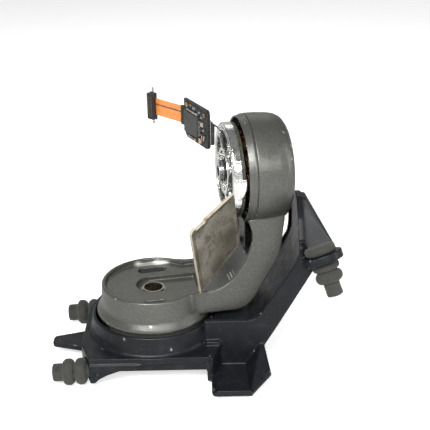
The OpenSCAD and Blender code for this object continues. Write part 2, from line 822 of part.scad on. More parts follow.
module roll_hub() {
    color([0.86, 0.86, 0.87]) on_roll_axis() difference() {
        union() {
            // Rim band with a small front bevel
            rotate_extrude() polygon([
                [hub_r - 1.1, hub_front_x + 0.15], [hub_r - 0.95, hub_front_x], [hub_r - 0.25, hub_front_x],
                [hub_r, hub_front_x + 0.25], [hub_r, hub_rim_x], [hub_r - 1.1, hub_rim_x]
            ]);
            translate([0, 0, hub_front_x - 0.3]) cylinder(r = hub_tube_r, h = 33.4 - hub_front_x + 0.3);
            translate([0, 0, hub_front_x]) tube(11.9, 11.2, 1.5);
            translate([0, 0, hub_front_x + 0.6]) hub_spokes();
            translate([0, 0, hub_front_x + 1.2]) tube(hub_r - 0.5, 11.2, 1.1);
        }
        translate([0, 0, 20]) cylinder(r = roll_bearing_r - 0.9, h = 14);
        translate([0, 0, 20]) cylinder(r = roll_bearing_r, h = roll_front_bearing_x + roll_bearing_w - 20);
        translate([0, 0, roll_rear_bearing_x]) cylinder(r = roll_bearing_r, h = 4);
        for (a = spoke_angles) rotate([0, 0, a]) translate([hub_bolt_r, 0, 20]) cylinder(r = 0.8, h = 8);
    }
}

module roll_stator_core() {
    color([0.35, 0.35, 0.37]) on_roll_axis(27.6)
        stator_core(hub_tube_r, roll_stator_r, 4, 1.6);
}

module roll_coils() {
    color([0.66, 0.26, 0.12]) on_roll_axis(29.6)
        stator_coils(9.4, 11.6, 3.6, 9.2, 1.6, 4);
}

module roll_coil_board() {
    color([0.3, 0.36, 0.24]) on_roll_axis(hub_rim_x) difference() {
        tube(hub_r - 0.15, hub_tube_r + 1.4, 0.8);
        for (a = spoke_angles) rotate([0, 0, a]) translate([hub_bolt_r, 0, -1]) cylinder(r = 1.2, h = 3);
        translate([0, hub_bolt_r, -1]) cube([4, 5.2, 6], center = true);
    }
}

module roll_race_outer(x) {
    color([0.75, 0.76, 0.78]) on_roll_axis(x)
        bearing_race(4.45, roll_bearing_r, roll_bearing_w, roll_ball_r, 4);
}

module roll_balls(x) {
    color([0.85, 0.86, 0.88]) on_roll_axis(x) bearing_balls(roll_ball_r, 4, roll_bearing_w);
}

module roll_front_bearing_outer() {
    roll_race_outer(roll_front_bearing_x);
}

module roll_rear_bearing_outer() {
    roll_race_outer(roll_rear_bearing_x);
}

module roll_front_bearing_balls() {
    roll_balls(roll_front_bearing_x);
}

module roll_rear_bearing_balls() {
    roll_balls(roll_rear_bearing_x);
}

// Bent leaf that holds the coil leads against the rim
module cable_lug() {
    color([0.84, 0.84, 0.85]) intersection() {
        on_roll_axis(hub_front_x + 0.6) tube(hub_r + 0.72, hub_r + 0.02, 3);
        on_arm() side_plate([
            [21.6, 47.6], [24.2, 48], [24.4, 47.2], [24.2, 45], [23.6, 43.2], [22.8, 42],
            [22.2, 41.8], [21.7, 43.2]
        ], 4, -hub_r);
    }
}

// ---------------------------------------------------------------- driver board

// Wide end of the lead, from the board's edge to the bending line
module lead_board_end() {
    color([0.2, 0.2, 0.21]) on_arm() translate([lead_hinge[0] - hinge_gap, lead_hinge[1], 0])
        side_plate([[-0.85, 53], [-0.85, 60.1], [0, 59], [0, 53]], lead_t);
}

// Narrow lead that drops from the bending line through the hub's upper window
module lead_hub_end() {
    color([0.2, 0.2, 0.21]) on_arm() translate([lead_hinge[0] + hinge_gap, lead_hinge[1], 0])
        side_plate([
            [0, 58.3], [0, 58.9], [0.9, 58.1], [1.3, 57.4], [2, 56.4], [3, 55.5], [5, 54.8], [5, 54.1],
            [2.8, 54.9], [1.7, 55.9], [0.9, 57.1], [0.6, 57.8]
        ], lead_t);
}

module driver_board() {
    corner = 1.2;
    color([0.1, 0.11, 0.1]) on_board() rotate([90, 0, 0]) translate([0, 0, -board_t])
        linear_extrude(board_t) {
            polygon([
                [corner, 0], [board_len - 1.6, 0], [board_len, 1.4], [board_len, board_h],
                [corner, board_h], [0, board_h - corner], [0, corner]
            ]);
            for (y = [corner, board_h - corner]) translate([corner, y]) circle(r = corner);
        }
}

module driver_chip() {
    color([0.24, 0.25, 0.26]) on_board() translate([5.6, board_t, 1.9]) cube([8.2, 1, 6.1]);
}

module board_components() {
    // Distance along the board, height on it, length and width of each part
    parts = [
        [2.2, 5.9, 1.5, 1.1], [1.9, 4.7, 0.7, 0.6], [1.7, 2.1, 1.6, 1.4], [4, 0.5, 1.1, 1.7],
        [2.7, 8.1, 0.9, 0.7], [4.1, 9.1, 0.9, 0.7], [1.4, 8.9, 0.7, 1], [7.2, 9.4, 1.4, 0.8]
    ];
    color([0.5, 0.4, 0.3]) on_board() {
        for (p = parts) translate([p[0], board_t, p[1]]) cube([p[2], 0.6, p[3]]);
        for (i = [0:3]) translate([4.3, board_t, 2.8 + i * 1.15]) cube([0.6, 0.5, 0.85]);
        for (i = [0:2]) translate([7 + i * 1.9, board_t, 0.5]) cube([1.1, 0.5, 0.7]);
        // Shield strip above the chip
        translate([5.6, board_t, 8.3]) cube([7, 0.7, 0.5]);
    }
}

module board_pads() {
    color([0.85, 0.65, 0.3]) on_board() {
        translate([12.9, board_t, 8.9]) cube([1.2, 0.12, 1.2]);
        translate([10.4, board_t, 9.6]) cube([0.9, 0.12, 0.6]);
    }
}

module ribbon_stiffener() {
    color([0.12, 0.12, 0.13]) on_ribbon()
        translate([1, -0.35, -ribbon_w / 2 - 0.3]) cube([stiffener_len, 0.7, ribbon_w + 0.6]);
}

module ribbon_board_end() {
    length = ribbon_len / 2 - hinge_gap;
    color([0.93, 0.56, 0.25]) on_ribbon() translate([1 + stiffener_len, -ribbon_t / 2, -ribbon_w / 2])
        cube([length, ribbon_t, ribbon_w]);
}

module ribbon_connector_end() {
    length = ribbon_len / 2 - hinge_gap;
    start = 1 + stiffener_len + ribbon_len / 2 + hinge_gap;
    color([0.93, 0.56, 0.25]) on_ribbon() translate([start, -ribbon_t / 2, -ribbon_w / 2])
        cube([length, ribbon_t, ribbon_w]);
}

module on_connector() {
    on_ribbon() translate([1 + stiffener_len + ribbon_len, 0, 0]) children();
}

module connector_backer() {
    color([0.14, 0.14, 0.15]) on_connector() translate([0, -0.3, -4]) cube([2.6, 0.6, 8]);
}

// Socket with two rows of contacts in troughs
module connector_housing() {
    color([0.1, 0.1, 0.1]) on_connector() difference() {
        translate([0.1, 0.3, -3.9]) cube([2.4, 1.2, 7.8]);
        for (x = contact_rows) translate([x, 0.9, -3.2]) cube([contact_len, 0.8, 6.4]);
    }
}

module connector_contacts() {
    color([0.75, 0.7, 0.5]) on_connector() for (x = contact_rows, i = [0:11])
        translate([x, 0.9, -3 + i * 0.52]) cube([contact_len, 0.5, 0.26]);
}

module connector_brackets() {
    color([0.7, 0.7, 0.7]) on_connector() for (side = sides)
        translate([1.2, -0.3, side * 4.75 - 0.75]) cube([0.5, 0.5, 1.5]);
}

// ---------------------------------------------------------------- assembly

mount_bracket();
damper_nose_left();
damper_nose_right();
damper_tail();
yaw_stator_core();
yaw_coils();
yaw_lower_bearing_outer();
yaw_upper_bearing_outer();
yaw_lower_bearing_balls();
yaw_upper_bearing_balls();
yaw_sensor_board();
yaw_stop_pin();
yaw_arm();
yaw_shaft();
yaw_rotor_ring();
yaw_magnets();
yaw_lower_bearing_inner();
yaw_upper_bearing_inner();
yaw_retaining_ring();
roll_front_ring();
roll_shaft();
roll_shaft_collar();
roll_rotor_ring();
roll_magnets();
roll_front_bearing_inner();
roll_rear_bearing_inner();
shield_plate();
arm_flex();
roll_hub();
roll_stator_core();
roll_coils();
roll_coil_board();
roll_front_bearing_outer();
roll_rear_bearing_outer();
roll_front_bearing_balls();
roll_rear_bearing_balls();
cable_lug();
lead_hub_end();
lead_board_end();
driver_board();
driver_chip();
board_components();
board_pads();
ribbon_stiffener();
ribbon_board_end();
ribbon_connector_end();
connector_backer();
connector_housing();
connector_contacts();
connector_brackets();
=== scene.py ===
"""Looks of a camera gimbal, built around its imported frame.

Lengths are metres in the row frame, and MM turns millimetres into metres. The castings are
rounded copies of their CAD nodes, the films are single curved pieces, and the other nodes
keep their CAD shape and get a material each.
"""
import json
import math

import bmesh
import bpy
from mathutils import Matrix, Vector

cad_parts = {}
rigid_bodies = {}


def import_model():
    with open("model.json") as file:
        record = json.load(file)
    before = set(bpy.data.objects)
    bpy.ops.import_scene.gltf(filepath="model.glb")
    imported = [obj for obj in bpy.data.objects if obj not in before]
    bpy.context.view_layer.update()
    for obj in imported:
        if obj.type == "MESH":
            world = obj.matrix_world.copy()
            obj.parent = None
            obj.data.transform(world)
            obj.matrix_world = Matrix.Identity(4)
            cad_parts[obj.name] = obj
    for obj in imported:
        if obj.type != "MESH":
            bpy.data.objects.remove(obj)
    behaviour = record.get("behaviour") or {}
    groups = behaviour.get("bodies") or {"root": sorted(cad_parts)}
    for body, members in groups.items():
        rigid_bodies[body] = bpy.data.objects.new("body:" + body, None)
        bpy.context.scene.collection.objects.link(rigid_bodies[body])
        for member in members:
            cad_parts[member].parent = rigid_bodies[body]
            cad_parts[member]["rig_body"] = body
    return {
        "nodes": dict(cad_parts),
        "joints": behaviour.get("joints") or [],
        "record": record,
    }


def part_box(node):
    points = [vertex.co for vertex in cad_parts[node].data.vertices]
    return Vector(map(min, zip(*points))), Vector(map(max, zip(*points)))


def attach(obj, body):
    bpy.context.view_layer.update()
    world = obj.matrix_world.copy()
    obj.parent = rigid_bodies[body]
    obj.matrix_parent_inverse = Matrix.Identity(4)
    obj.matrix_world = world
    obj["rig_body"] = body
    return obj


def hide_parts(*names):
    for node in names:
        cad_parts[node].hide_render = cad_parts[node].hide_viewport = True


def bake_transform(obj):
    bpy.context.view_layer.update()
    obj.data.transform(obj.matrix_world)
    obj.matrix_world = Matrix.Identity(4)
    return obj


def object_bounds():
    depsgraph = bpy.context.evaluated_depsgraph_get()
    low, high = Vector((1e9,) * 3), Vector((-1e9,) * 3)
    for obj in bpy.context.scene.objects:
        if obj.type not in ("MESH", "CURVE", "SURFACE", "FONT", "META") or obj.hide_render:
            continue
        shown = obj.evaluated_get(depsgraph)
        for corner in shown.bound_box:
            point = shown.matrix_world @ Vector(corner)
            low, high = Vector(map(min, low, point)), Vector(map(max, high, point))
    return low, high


MM = 0.001

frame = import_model()
cad_low, cad_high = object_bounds()
nodes = frame["nodes"]
joints = {joint["name"]: joint for joint in frame["joints"]}
slot_of = {part["node"]: part["material_slot"] for part in frame["record"]["subparts"]}
body_of = {name: node["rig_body"] for name, node in nodes.items()}


# ---------------------------------------------------------------- places

def joint_place(name):
    return Vector(joints[name]["pos_m"])


roll_axis = Vector(joints["roll_turn"]["axis"])
arm_angle = math.atan2(roll_axis.y, roll_axis.x)
arm_frame = Matrix.Rotation(arm_angle, 4, "Z")
roll_centre = joint_place("roll_turn")

# Local X is the arm's Y axis, local Y is up and local Z runs along the roll axis
roll_frame = Matrix.Translation(roll_centre) @ Matrix((
    (-math.sin(arm_angle), 0, math.cos(arm_angle), 0),
    (math.cos(arm_angle), 0, math.sin(arm_angle), 0),
    (0, 1, 0, 0),
    (0, 0, 0, 1),
))

# The driver board: its hinged lower corner in the arm's frame, and its turn from the arm's X axis
BOARD_CORNER = Vector((17.6, 0.87, 51.75)) * MM
BOARD_TURN = math.radians(105)
BOARD_THICKNESS = 0.8
board_frame = arm_frame @ Matrix.Translation(BOARD_CORNER) @ Matrix.Rotation(BOARD_TURN, 4, "Z")

# The ribbon runs through the connector's hinge
RIBBON_TURN = arm_angle + math.radians(121.7)
RIBBON_HALF = 5.7 * MM
RIBBON_WIDTH = 5 * MM
ribbon_dir = Vector((math.cos(RIBBON_TURN), math.sin(RIBBON_TURN), 0))


# ---------------------------------------------------------------- shader building

class Shader:
    """A Principled material, with short calls that add nodes to it and return sockets."""

    def __init__(self, name):
        self.material = bpy.data.materials.new(name)
        self.material.use_nodes = True
        self.tree = self.material.node_tree
        self.bsdf = self.tree.nodes["Principled BSDF"]
        self.place = self.add("ShaderNodeTexCoord").outputs["Object"]
        self.last_bump = None

    def add(self, kind, **settings):
        node = self.tree.nodes.new(kind)
        for key, value in settings.items():
            setattr(node, key, value)
        return node

    def put(self, target, value):
        """Sets an input socket to a plain value or links another socket to it."""
        if isinstance(value, bpy.types.NodeSocket):
            self.tree.links.new(value, target)
        elif isinstance(value, (tuple, list)) and len(value) == 3 and target.type == "RGBA":
            target.default_value = (*value, 1)
        else:
            target.default_value = value

    def set(self, **inputs):
        for key, value in inputs.items():
            self.put(self.bsdf.inputs[key.replace("_", " ")], value)

    def scaled_place(self, stretch, turn=(0, 0, 0)):
        mapping = self.add("ShaderNodeMapping")
        self.put(mapping.inputs["Vector"], self.place)
        self.put(mapping.inputs["Rotation"], turn)
        self.put(mapping.inputs["Scale"], stretch)
        return mapping.outputs["Vector"]

    def noise(self, size, detail=3, rough=0.55, stretch=(1, 1, 1), turn=(0, 0, 0)):
        """Noise from 0 to 1 whose blobs are about size metres across."""
        node = self.add("ShaderNodeTexNoise")
        self.put(node.inputs["Vector"], self.scaled_place(stretch, turn))
        self.put(node.inputs["Scale"], 1 / size)
        self.put(node.inputs["Detail"], detail)
        self.put(node.inputs["Roughness"], rough)
        return node.outputs["Fac"]

    def ramp(self, value, stops):
        """Colour or value ramp; stops are (position, grey or colour)."""
        node = self.add("ShaderNodeValToRGB")
        self.put(node.inputs["Fac"], value)
        elements = node.color_ramp.elements
        while len(elements) < len(stops):
            elements.new(0.5)
        for element, (position, colour) in zip(elements, stops):
            element.position = position
            rgb = colour if isinstance(colour, (tuple, list)) else (colour,) * 3
            element.color = (*rgb, 1)
        return node.outputs["Color"]

    def mix(self, factor, first, second):
        node = self.add("ShaderNodeMix", data_type="RGBA")
        self.put(node.inputs[0], factor)
        self.put(node.inputs[6], first)
        self.put(node.inputs[7], second)
        return node.outputs[2]

    def math(self, operation, first, second=0.0):
        node = self.add("ShaderNodeMath", operation=operation)
        self.put(node.inputs[0], first)
        self.put(node.inputs[1], second)
        return node.outputs[0]

    def convex_edges(self, low, high):
        """1 on the outer edges of a dense mesh, 0 elsewhere."""
        pointiness = self.add("ShaderNodeNewGeometry").outputs["Pointiness"]
        return self.ramp(pointiness, [(low, 0.0), (high, 1.0)])

    def patch(self, place, centre, half):
        """1 inside a box given by its centre and half size, fading out towards its faces."""
        value = place
        for operation, operand in (("SUBTRACT", centre), ("DIVIDE", half), ("ABSOLUTE", None)):
            node = self.add("ShaderNodeVectorMath", operation=operation)
            self.put(node.inputs[0], value)
            if operand:
                self.put(node.inputs[1], operand)
            value = node.outputs["Vector"]
        split = self.add("ShaderNodeSeparateXYZ")
        self.put(split.inputs[0], value)
        farthest = self.math("MAXIMUM", self.math("MAXIMUM", split.outputs["X"], split.outputs["Y"]),
                             split.outputs["Z"])
        return self.ramp(farthest, [(0.75, 1.0), (1.0, 0.0)])

    def bump(self, height, distance):
        node = self.add("ShaderNodeBump")
        self.put(node.inputs["Height"], height)
        self.put(node.inputs["Distance"], distance)
        if self.last_bump:
            self.put(node.inputs["Normal"], self.last_bump)
        self.last_bump = node.outputs["Normal"]
        self.set(Normal=self.last_bump)


# ---------------------------------------------------------------- materials

def arm_paint():
    """Warm graphite lacquer with a metallic sparkle; its edges are lighter, partly as wear and partly as
    painted highlight, and painted highlights mark the roof slot and the elbow.
    """
    s = Shader("arm_paint")
    clouds = s.noise(9 * MM, 3)
    grain = s.noise(0.24 * MM, 3, 0.8)
    base = s.mix(clouds, (0.072, 0.073, 0.066), (0.112, 0.113, 0.102))
    sparkle = s.ramp(grain, [(0.46, 0.0), (0.70, 1.0)])
    base = s.mix(s.math("MULTIPLY", sparkle, 0.32), base, (0.40, 0.40, 0.375))
    # Convex edges painted lighter, partly as wear and partly as painted highlight
    edge = s.convex_edges(0.54, 0.62)
    edge_wear_and_highlight = s.math("MULTIPLY", edge, s.ramp(s.noise(2.5 * MM), [(0.3, 0.35), (0.7, 1.0)]))
    arm_place = s.scaled_place((1 / MM,) * 3, (0, 0, -arm_angle))
    # Painted highlight as a bright strip behind the wide roof slot, and bright scratch strokes at the foot
    # of the elbow that are partly real scratches and partly painted highlight
    strip = s.patch(arm_place, (1.3, 12.5, 13.2), (5.6, 0.9, 1.0))
    # Scratch strokes painted bright on the shiny scoop: partly real scratches, partly painted highlight
    scratches_and_highlight = s.patch(arm_place, (20.9, -5.5, 16.5), (1.6, 2.2, 1.3))
    across = s.add("ShaderNodeSeparateXYZ")
    s.put(across.inputs[0], arm_place)
    scratch_pitch = 0.74
    wave = s.math("SINE", s.math("MULTIPLY", across.outputs["X"], math.tau / scratch_pitch))
    strokes = s.ramp(wave, [(0.2, 0.0), (0.6, 1.0)])
    # Painted highlight strip and scratch strokes, lightened to the same pale grey as the edges
    painted_highlights_and_scratches = s.math("MAXIMUM", strip, s.math("MULTIPLY", scratches_and_highlight, strokes))
    base = s.mix(s.math("MAXIMUM", edge_wear_and_highlight, painted_highlights_and_scratches), base, (0.62, 0.62, 0.58))
    s.set(Base_Color=base, Metallic=0.6)
    s.set(Roughness=s.ramp(s.noise(1.6 * MM, 4), [(0.3, 0.33), (0.7, 0.43)]))
    s.bump(grain, 0.016 * MM)
    s.bump(clouds, 0.05 * MM)
    return s.material


def bracket_paint():
    """Navy-black powder coat with fine dust; its edges are pale in chips, partly as wear through to metal
    and partly as painted highlight.
    """
    s = Shader("bracket_paint")
    clouds = s.noise(10 * MM, 5, 0.6)
    grain = s.noise(0.2 * MM, 3, 0.65)
    base = s.mix(clouds, (0.0040, 0.0050, 0.0062), (0.0105, 0.0122, 0.0148))
    handled = s.ramp(s.noise(3.2 * MM, 5, 0.7), [(0.52, 0.0), (0.75, 1.0)])
    base = s.mix(s.math("MULTIPLY", handled, 0.55), base, (0.026, 0.029, 0.033))
    dust = s.ramp(s.noise(0.5 * MM, 1, 0.3), [(0.74, 0.0), (0.80, 1.0)])
    base = s.mix(s.math("MULTIPLY", dust, 0.22), base, (0.30, 0.29, 0.26))
    # Convex edges painted pale in chips, partly wear through to metal and partly painted highlight
    edge = s.convex_edges(0.56, 0.64)
    chips = s.ramp(s.noise(0.9 * MM, 4, 0.7), [(0.38, 0.05), (0.56, 0.9)])
    edge_chips_and_highlight = s.math("MULTIPLY", edge, chips)
    s.set(Base_Color=s.mix(edge_chips_and_highlight, base, (0.46, 0.47, 0.48)))
    s.set(Metallic=s.math("MULTIPLY", edge_chips_and_highlight, 0.7), Specular_IOR_Level=0.26)
    s.set(Roughness=s.ramp(s.noise(2.2 * MM, 4), [(0.3, 0.30), (0.7, 0.46)]))
    s.bump(grain, 0.022 * MM)
    s.bump(s.noise(1.4 * MM, 2), 0.04 * MM)
    return s.material


def rubber():
    """Matt olive-grey silicone rubber that holds dust and shows its moulding skin."""
    s = Shader("rubber")
    clouds = s.noise(3 * MM, 4)
    base = s.mix(clouds, (0.024, 0.025, 0.021), (0.048, 0.050, 0.042))
    dust = s.ramp(s.noise(0.5 * MM, 3, 0.8), [(0.62, 0.0), (0.74, 1.0)])
    s.set(Base_Color=s.mix(s.math("MULTIPLY", dust, 0.5), base, (0.17, 0.17, 0.145)))
    s.set(Roughness=0.8, Specular_IOR_Level=0.3, Sheen_Weight=0.1, Sheen_Roughness=0.6)
    s.bump(s.noise(0.35 * MM, 4, 0.7), 0.06 * MM)
    s.bump(s.noise(1.5 * MM, 2), 0.12 * MM)
    return s.material


def metal(name, dark, light, rough, scratch_size, stretch=(1, 1, 1), scratch=0.01):
    """Bare metal with uneven tone, uneven polish and tool marks drawn out along one axis."""
    s = Shader(name)
    s.set(Base_Color=s.mix(s.noise(2.5 * MM, 4), dark, light), Metallic=1.0)
    s.set(Roughness=s.ramp(s.noise(1.2 * MM, 4), [(0.3, rough[0]), (0.7, rough[1])]))
    s.bump(s.noise(scratch_size, 3, 0.7, stretch), scratch * MM)
    return s.material


def hub_metal():
    """Bright turned alloy with painted reflections: dark and white streaks in its colour, and an uneven
    skin from bumps.
    """
    s = Shader("hub_metal")
    # Painted reflection: dark and white streaks in the colour, stretched round the axis
    tone = s.noise(1.5 * MM, 5, 0.7, (1, 1, 0.6))
    base = s.ramp(tone, [(0.32, (0.30, 0.30, 0.28)), (0.42, (0.88, 0.88, 0.85)),
                         (0.6, (0.98, 0.98, 0.96))])
    s.set(Base_Color=base, Metallic=1.0)
    s.set(Roughness=s.ramp(s.noise(0.8 * MM, 3), [(0.3, 0.10), (0.7, 0.24)]))
    s.bump(s.noise(0.7 * MM, 3, 0.6), 0.07 * MM)
    s.bump(s.noise(2.4 * MM, 2), 0.16 * MM)
    return s.material


def laminate_face():
    """Olive-taupe stiffener face, stained by old adhesive."""
    s = Shader("laminate_face")
    stains = s.noise(3 * MM, 6, 0.72)
    base = s.ramp(stains, [(0.40, (0.080, 0.071, 0.050)), (0.50, (0.155, 0.140, 0.112)),
                           (0.62, (0.205, 0.185, 0.155))])
    patch = s.ramp(s.noise(6 * MM, 5, 0.75), [(0.50, 0.0), (0.58, 1.0)])
    base = s.mix(s.math("MULTIPLY", patch, 0.9), base, (0.070, 0.064, 0.042))
    pits = s.ramp(s.noise(0.5 * MM, 4, 0.8), [(0.36, 1.0), (0.48, 0.0)])
    base = s.mix(s.math("MULTIPLY", pits, 0.6), base, (0.05, 0.045, 0.032))
    flecks = s.ramp(s.noise(0.35 * MM, 3, 0.7), [(0.60, 0.0), (0.72, 1.0)])
    base = s.mix(s.math("MULTIPLY", flecks, 0.5), base, (0.36, 0.34, 0.29))
    s.set(Base_Color=base, Metallic=0.1)
    s.set(Roughness=s.ramp(stains, [(0.35, 0.62), (0.65, 0.40)]))
    s.bump(s.noise(0.5 * MM, 4, 0.7), 0.05 * MM)
    s.bump(stains, 0.08 * MM)
    return s.material


def laminate_edge():
    """Cream cut edge of the stiffener, with copper showing in places."""
    s = Shader("laminate_edge")
    patches = s.ramp(s.noise(2.2 * MM, 4, 0.7), [(0.50, 0.0), (0.68, 1.0)])
    s.set(Base_Color=s.mix(patches, (0.44, 0.40, 0.31), (0.24, 0.13, 0.085)))
    s.set(Roughness=0.5)
    s.bump(s.noise(0.4 * MM, 3), 0.05 * MM)
    return s.material


def black_film():
    """Satin black cover film with faint rubs and specks."""
    s = Shader("black_film")
    rub = s.ramp(s.noise(0.9 * MM, 4, 0.7), [(0.5, 0.0), (0.75, 1.0)])
    s.set(Base_Color=s.mix(rub, (0.012, 0.0125, 0.013), (0.055, 0.057, 0.055)))
    s.set(Roughness=s.ramp(s.noise(1.5 * MM), [(0.3, 0.36), (0.7, 0.6)]))
    s.bump(s.noise(0.5 * MM, 3), 0.05 * MM)
    return s.material


def orange_film():
    """Glossy amber polyimide film; copper tracks show through as darker lines."""
    s = Shader("orange_film")
    height = s.add("ShaderNodeSeparateXYZ")
    s.put(height.inputs[0], s.place)
    level = s.math("MULTIPLY", height.outputs["Z"], 1 / MM)
    tracks = s.math("ABSOLUTE", s.math("SINE", s.math("MULTIPLY", level, 9.0)))
    tone = s.mix(s.ramp(tracks, [(0.0, 0.0), (0.6, 1.0)]), (0.56, 0.185, 0.040), (0.80, 0.285, 0.070))
    mid = joint_place("connector_swing").z / MM
    gap = s.math("ABSOLUTE", s.math("SUBTRACT", level, mid + 0.75))
    line = s.ramp(gap, [(0.16, 1.0), (0.30, 0.0)])
    s.set(Base_Color=s.mix(line, tone, (0.17, 0.055, 0.015)))
    s.set(Roughness=s.ramp(s.noise(2 * MM), [(0.3, 0.2), (0.7, 0.36)]))
    s.set(Coat_Weight=0.5, Coat_Roughness=0.12)
    s.set(Transmission_Weight=0.05)
    s.bump(s.noise(1.8 * MM, 2), 0.06 * MM)
    return s.material


def solder_mask(name, dark, light):
    """Solder mask over fine tracks, with a scatter of tinned vias."""
    s = Shader(name)
    cells = s.add("ShaderNodeTexVoronoi", feature="DISTANCE_TO_EDGE", distance="CHEBYCHEV")
    s.put(cells.inputs["Vector"], s.place)
    s.put(cells.inputs["Scale"], 1 / (1.1 * MM))
    tracks = s.ramp(cells.outputs["Distance"], [(0.04, 1.0), (0.09, 0.0)])
    base = s.mix(s.math("MULTIPLY", tracks, 0.8), dark, light)
    vias = s.ramp(s.noise(0.42 * MM, 1, 0.2), [(0.74, 0.0), (0.78, 1.0)])
    s.set(Base_Color=s.mix(vias, base, (0.42, 0.40, 0.33)), Metallic=s.math("MULTIPLY", vias, 0.8))
    s.set(Roughness=s.ramp(s.noise(2 * MM), [(0.3, 0.30), (0.7, 0.5)]))
    s.set(Specular_IOR_Level=0.35)
    s.bump(tracks, 0.03 * MM)
    return s.material


def chip_resin():
    """Grey moulding compound with a silica sparkle."""
    s = Shader("chip_resin")
    fleck = s.ramp(s.noise(0.12 * MM, 1), [(0.60, 0.0), (0.75, 1.0)])
    base = s.mix(s.noise(2 * MM), (0.034, 0.037, 0.034), (0.066, 0.069, 0.062))
    s.set(Base_Color=s.mix(s.math("MULTIPLY", fleck, 0.3), base, (0.16, 0.16, 0.15)))
    s.set(Roughness=s.ramp(s.noise(0.3 * MM), [(0.3, 0.45), (0.7, 0.62)]))
    s.bump(s.noise(0.15 * MM, 2), 0.01 * MM)
    return s.material


def ceramic(name, dark, light):
    """Fired ceramic body of a small chip part."""
    s = Shader(name)
    s.set(Base_Color=s.mix(s.noise(0.5 * MM, 3), dark, light))
    s.set(Roughness=s.ramp(s.noise(0.4 * MM), [(0.3, 0.3), (0.7, 0.5)]))
    s.bump(s.noise(0.2 * MM, 3), 0.015 * MM)
    return s.material


def moulded_black():
    """Glass-filled connector plastic."""
    s = Shader("moulded_black")
    s.set(Base_Color=s.mix(s.noise(0.6 * MM, 3), (0.010, 0.010, 0.010), (0.030, 0.030, 0.029)))
    s.set(Roughness=s.ramp(s.noise(0.5 * MM), [(0.3, 0.35), (0.7, 0.55)]))
    s.bump(s.noise(0.15 * MM, 2), 0.015 * MM)
    return s.material


def copper_wire():
    """Enamelled winding wire, mostly painted near-black as the shade of the narrow gap it sits in."""
    s = Shader("copper_wire")
    # Painted shade: near-black over most of the wire, with copper showing in patches
    bright = s.ramp(s.noise(1.2 * MM, 4), [(0.50, 0.0), (0.64, 1.0)])
    s.set(Base_Color=s.mix(bright, (0.010, 0.005, 0.004), (0.24, 0.060, 0.028)))
    s.set(Metallic=0.75, Coat_Weight=0.6, Coat_Roughness=0.1)
    s.set(Roughness=s.ramp(s.noise(0.6 * MM), [(0.3, 0.22), (0.7, 0.4)]))
    s.bump(s.noise(0.2 * MM, 2, 0.5, (1, 1, 3)), 0.02 * MM)
    return s.material


def floor_paint():
    """White table that looks brighter to the camera and in reflections than it lights the object."""
    s = Shader("floor_paint")
    path = s.add("ShaderNodeLightPath")
    seen = path.outputs["Is Camera Ray"]
    mirrored = path.outputs["Is Glossy Ray"]
    white = s.mix(s.noise(0.4), (0.90, 0.90, 0.90), (0.93, 0.93, 0.93))
    s.set(Base_Color=s.mix(seen, (0.76, 0.76, 0.76), white))
    s.set(Roughness=0.9, Specular_IOR_Level=0.0)
    glow = s.math("ADD", s.math("MULTIPLY", seen, 0.62), s.math("MULTIPLY", mirrored, 0.08))
    s.set(Emission_Color=(1, 1, 1), Emission_Strength=glow)
    return s.material


materials = {
    "bracket_cast": bracket_paint(),
    "damper_rubber": rubber(),
    "core_steel": metal("core_steel", (0.14, 0.14, 0.15), (0.30, 0.30, 0.31), (0.35, 0.55),
                        0.3 * MM, (1, 1, 6)),
    "copper_wire": copper_wire(),
    "bearing_steel": metal("bearing_steel", (0.46, 0.46, 0.47), (0.70, 0.70, 0.71), (0.12, 0.25), 0.3 * MM),
    "spring_steel": metal("spring_steel", (0.07, 0.07, 0.08), (0.16, 0.16, 0.17), (0.3, 0.45), 0.3 * MM),
    "sensor_board": solder_mask("sensor_board_mask", (0.008, 0.045, 0.022), (0.02, 0.11, 0.05)),
    "coil_board": solder_mask("coil_board_mask", (0.026, 0.029, 0.018), (0.075, 0.080, 0.055)),
    "arm_metal": arm_paint(),
    "shaft_metal": metal("shaft_metal", (0.26, 0.23, 0.18), (0.55, 0.50, 0.42), (0.22, 0.40),
                         0.25 * MM, (4, 4, 1)),
    "magnet_plate": metal("magnet_plate", (0.40, 0.40, 0.41), (0.62, 0.62, 0.63), (0.15, 0.3), 0.4 * MM),
    "plate_laminate": laminate_face(),
    "black_film": black_film(),
    "hub_metal": hub_metal(),
    "board_black": solder_mask("board_mask", (0.0075, 0.009, 0.0075), (0.028, 0.034, 0.028)),
    "chip_resin": chip_resin(),
    "component_mix": ceramic("ceramic_tan", (0.42, 0.24, 0.12), (0.66, 0.44, 0.26)),
    "gold_pad": metal("gold_pad", (0.52, 0.33, 0.13), (0.95, 0.70, 0.34), (0.2, 0.35), 0.3 * MM),
    "orange_film": orange_film(),
    "connector_black": moulded_black(),
}
edge_material = laminate_edge()
ceramic_brown = ceramic("ceramic_brown", (0.085, 0.032, 0.018), (0.20, 0.085, 0.05))
ceramic_grey = ceramic("ceramic_grey", (0.06, 0.06, 0.055), (0.17, 0.17, 0.155))
contact_metal = metal("contact_metal", (0.20, 0.17, 0.12), (0.46, 0.40, 0.30), (0.3, 0.5), 0.2 * MM)
tin = metal("tin", (0.44, 0.44, 0.42), (0.80, 0.80, 0.77), (0.2, 0.4), 0.3 * MM)


# ---------------------------------------------------------------- mesh helpers

def new_piece(name, mesh, body, slot, *replaced):
    """Links a finished mesh as a piece that rides on a body and stands for CAD nodes."""
    piece = bpy.data.objects.new(name, mesh)
    bpy.context.scene.collection.objects.link(piece)
    if body:
        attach(piece, body)
    if replaced:
        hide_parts(*replaced)
    if not mesh.materials:
        mesh.materials.append(materials[slot])
    return piece


